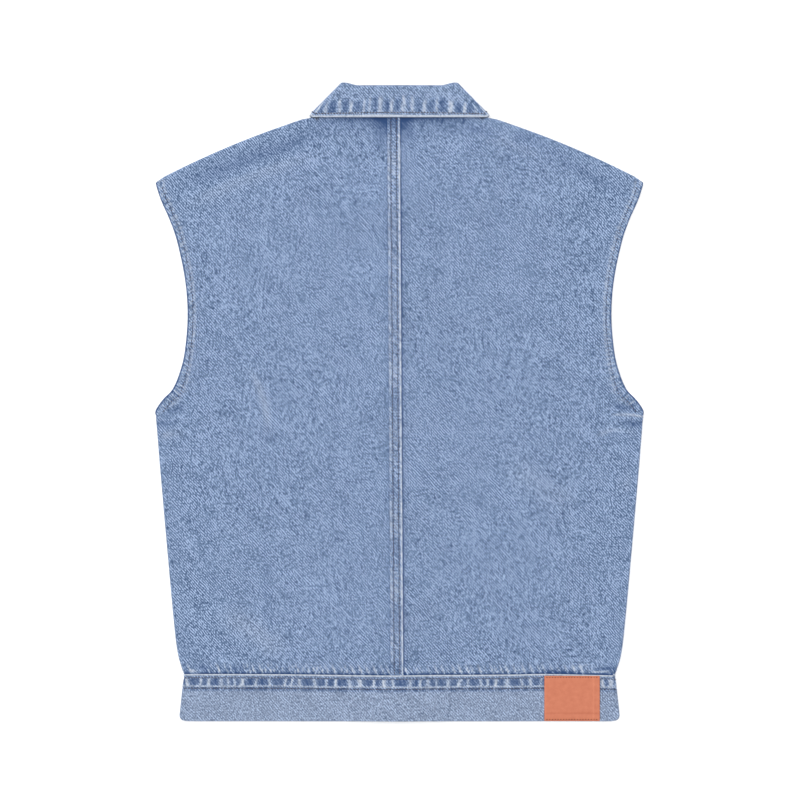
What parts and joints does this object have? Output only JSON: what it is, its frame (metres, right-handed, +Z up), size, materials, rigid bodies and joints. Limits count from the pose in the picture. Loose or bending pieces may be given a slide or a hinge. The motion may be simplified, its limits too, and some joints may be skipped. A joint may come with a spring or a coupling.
{
  "type": "denim vest",
  "caption": "Sleeveless boxy jacket in washed denim with dropped shoulders, turned-over collar, centre-back felled seam, button front, hem band and bare leather patch, laid flat on its front.",
  "frame": {"origin": "middle of the vest's box on the surface that it lies on", "axes": "+Z up through the back of the vest, +Y from the hem to the collar, +X towards the wearer's right, which is the side with the patch"},
  "size_m": [0.5132, 0.671, 0.0108],
  "materials": {
    "denim": "light-blue stone-washed cotton twill, matt",
    "patch_leather": "tan leather, smooth and matt",
    "button_metal": "aged, satin"
  },
  "bodies": {
    "root": {"back_left": "denim", "back_right": "denim", "back_centre_seam": "denim", "front_left": "denim", "front_right": "denim", "placket_left": "denim", "placket_right": "denim", "hem_band": "denim", "collar": "denim", "label_patch": "patch_leather", "button_1": "button_metal", "button_2": "button_metal", "button_3": "button_metal", "button_4": "button_metal", "button_5": "button_metal", "button_6": "button_metal"}
  },
  "joints": []
}
